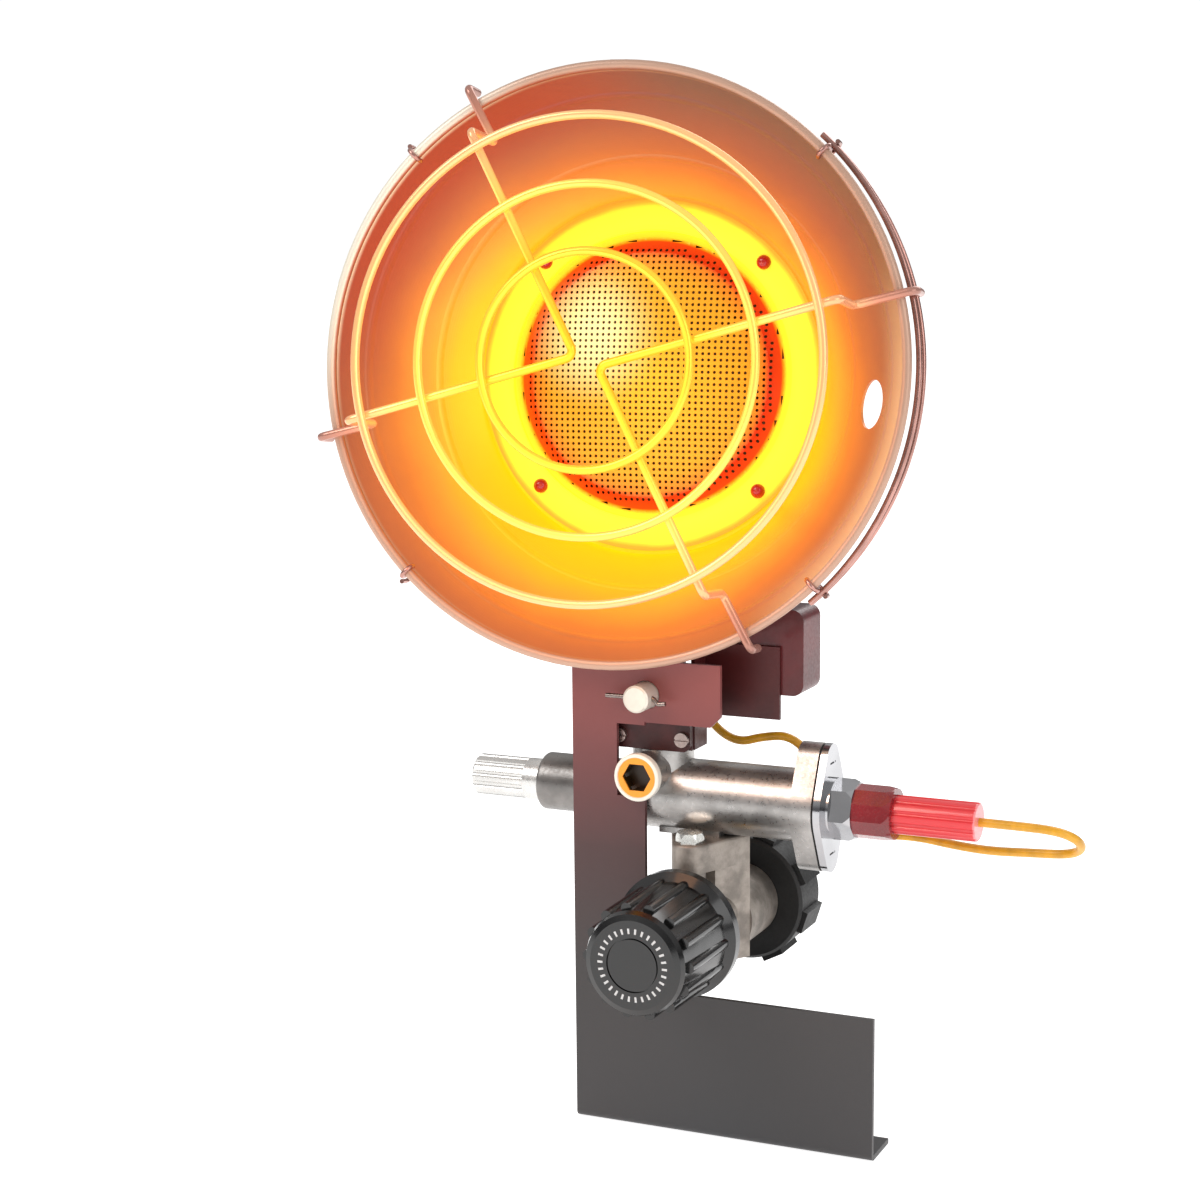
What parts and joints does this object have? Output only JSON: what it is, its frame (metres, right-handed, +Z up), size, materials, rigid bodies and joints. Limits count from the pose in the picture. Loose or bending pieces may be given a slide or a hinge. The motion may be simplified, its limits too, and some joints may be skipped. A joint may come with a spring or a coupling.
{
  "type": "portable propane heater",
  "caption": "Radiant heater that screws onto a gas tank: dish with wire guard, safety valve with push button, regulator with knob, tilt switch and L-shaped support bracket.",
  "frame": {"origin": "centre of the tank inlet, in the plane of the coupling nut's mouth", "axes": "+Y along the inlet towards the tank valve, so the dish and the knob look towards -Y; +Z up; +X to the right seen from the front"},
  "size_m": [0.293, 0.1515, 0.4082],
  "materials": {
    "reflector_steel": "heated steel, yellow by the burner through orange and red to grey-brown at the top right",
    "burner_ring_steel": "glowing yellow",
    "burner_screen_mesh": "perforated, glowing gold with dark red-brown holes",
    "burner_cup_steel": "heat-darkened steel",
    "burner_rivet_steel": "red hot",
    "guard_wire": "bright wire lit orange and yellow",
    "side_wire": "pink-brown bright wire",
    "neck_steel": "dark, satin, lit red at the top",
    "jet_brass": "machined",
    "small_screw_steel": "plated",
    "stud_metal": "bright, plain face",
    "clip_wire": "bright wire",
    "bracket_paint": "satin charcoal, lit maroon towards the top",
    "tilt_case_plastic": "dark maroon, satin",
    "lead_insulation": "smooth yellow insulation",
    "valve_nickel": "satin nickel",
    "plug_metal": "orange face with a white rim",
    "gasket_rubber": "matte black",
    "polished_chrome": "mirror chrome",
    "magnet_steel": "turned",
    "collar_plastic": "dark red, faceted",
    "connector_plastic": "bright red, fluted, with a pink end",
    "guide_metal": "satin",
    "button_metal": "bright, fluted",
    "regulator_zinc": "cast, fine grain",
    "bolt_zinc": "bright zinc plate",
    "knob_plastic": "gloss black with a few plain pale ticks",
    "nut_plastic": "matte black"
  },
  "bodies": {
    "heater": {"reflector_dish": "reflector_steel", "burner_ring": "burner_ring_steel", "burner_screen": "burner_screen_mesh", "burner_cup": "burner_cup_steel", "burner_baffle": "burner_cup_steel", "burner_rivets": "burner_rivet_steel", "guard_ring_small": "guard_wire", "guard_ring_middle": "guard_wire", "guard_ring_large": "guard_wire", "guard_vee_left": "guard_wire", "guard_vee_right": "guard_wire", "guard_side_wire_front": "side_wire", "guard_side_wire_rear": "side_wire", "rim_clips": "side_wire", "mixer_tube": "neck_steel", "gas_jet": "jet_brass", "neck_clamp": "neck_steel", "clamp_screws": "small_screw_steel", "head_bracket": "neck_steel", "bracket_stud": "stud_metal", "retaining_clip": "clip_wire", "support_bracket": "bracket_paint", "switch_strap": "neck_steel", "tilt_switch_case": "tilt_case_plastic", "tilt_switch_lid": "tilt_case_plastic", "tilt_lid_screws": "small_screw_steel", "pivot_pin": "small_screw_steel", "tilt_contacts": "jet_brass", "switch_lead": "lead_insulation", "valve_body": "valve_nickel", "hex_plug": "plug_metal", "flange_gasket": "gasket_rubber", "end_plate": "polished_chrome", "flange_screws": "polished_chrome", "magnet_unit": "magnet_steel", "outlet_nut": "polished_chrome", "connector_collar": "collar_plastic", "red_connector": "connector_plastic", "push_button_guide": "guide_metal", "plunger_seal": "gasket_rubber", "button_spring": "magnet_steel", "regulator_body": "regulator_zinc", "regulator_cover": "regulator_zinc", "cover_bolts": "bolt_zinc", "diaphragm": "gasket_rubber", "diaphragm_plate": "magnet_steel", "diaphragm_spring": "magnet_steel", "outlet_pipe": "jet_brass", "stem_gland": "jet_brass", "stem_seal": "gasket_rubber", "inlet_nipple": "jet_brass", "nipple_seal": "gasket_rubber"},
    "knob": {"control_knob": "knob_plastic", "control_stem": "jet_brass"},
    "button": {"push_button": "button_metal", "valve_plunger": "magnet_steel"},
    "nut": {"coupling_nut": "nut_plastic"},
    "pendulum": {"tilt_pendulum": "jet_brass"}
  },
  "joints": [
    {"name": "knob_turn", "type": "hinge", "parent": "heater", "child": "knob", "pos_m": [-0.0012, -0.1, 0.0035], "axis": [0, -1, 0], "range_deg": [0, 270]},
    {"name": "button_press", "type": "slide", "parent": "heater", "child": "button", "axis": [1, 0, 0], "range_m": [0, 0.006], "stiffness_N_per_m": 800, "springref_m": -0.004, "deforming": ["button_spring"]},
    {"name": "nut_spin", "type": "hinge", "parent": "heater", "child": "nut", "pos_m": [0, 0, 0], "axis": [0, 1, 0], "continuous": true},
    {"name": "pendulum_swing", "type": "hinge", "parent": "heater", "child": "pendulum", "pos_m": [0.0205, -0.0384, 0.1125], "axis": [0, 1, 0], "range_deg": [-34, 34]}
  ]
}
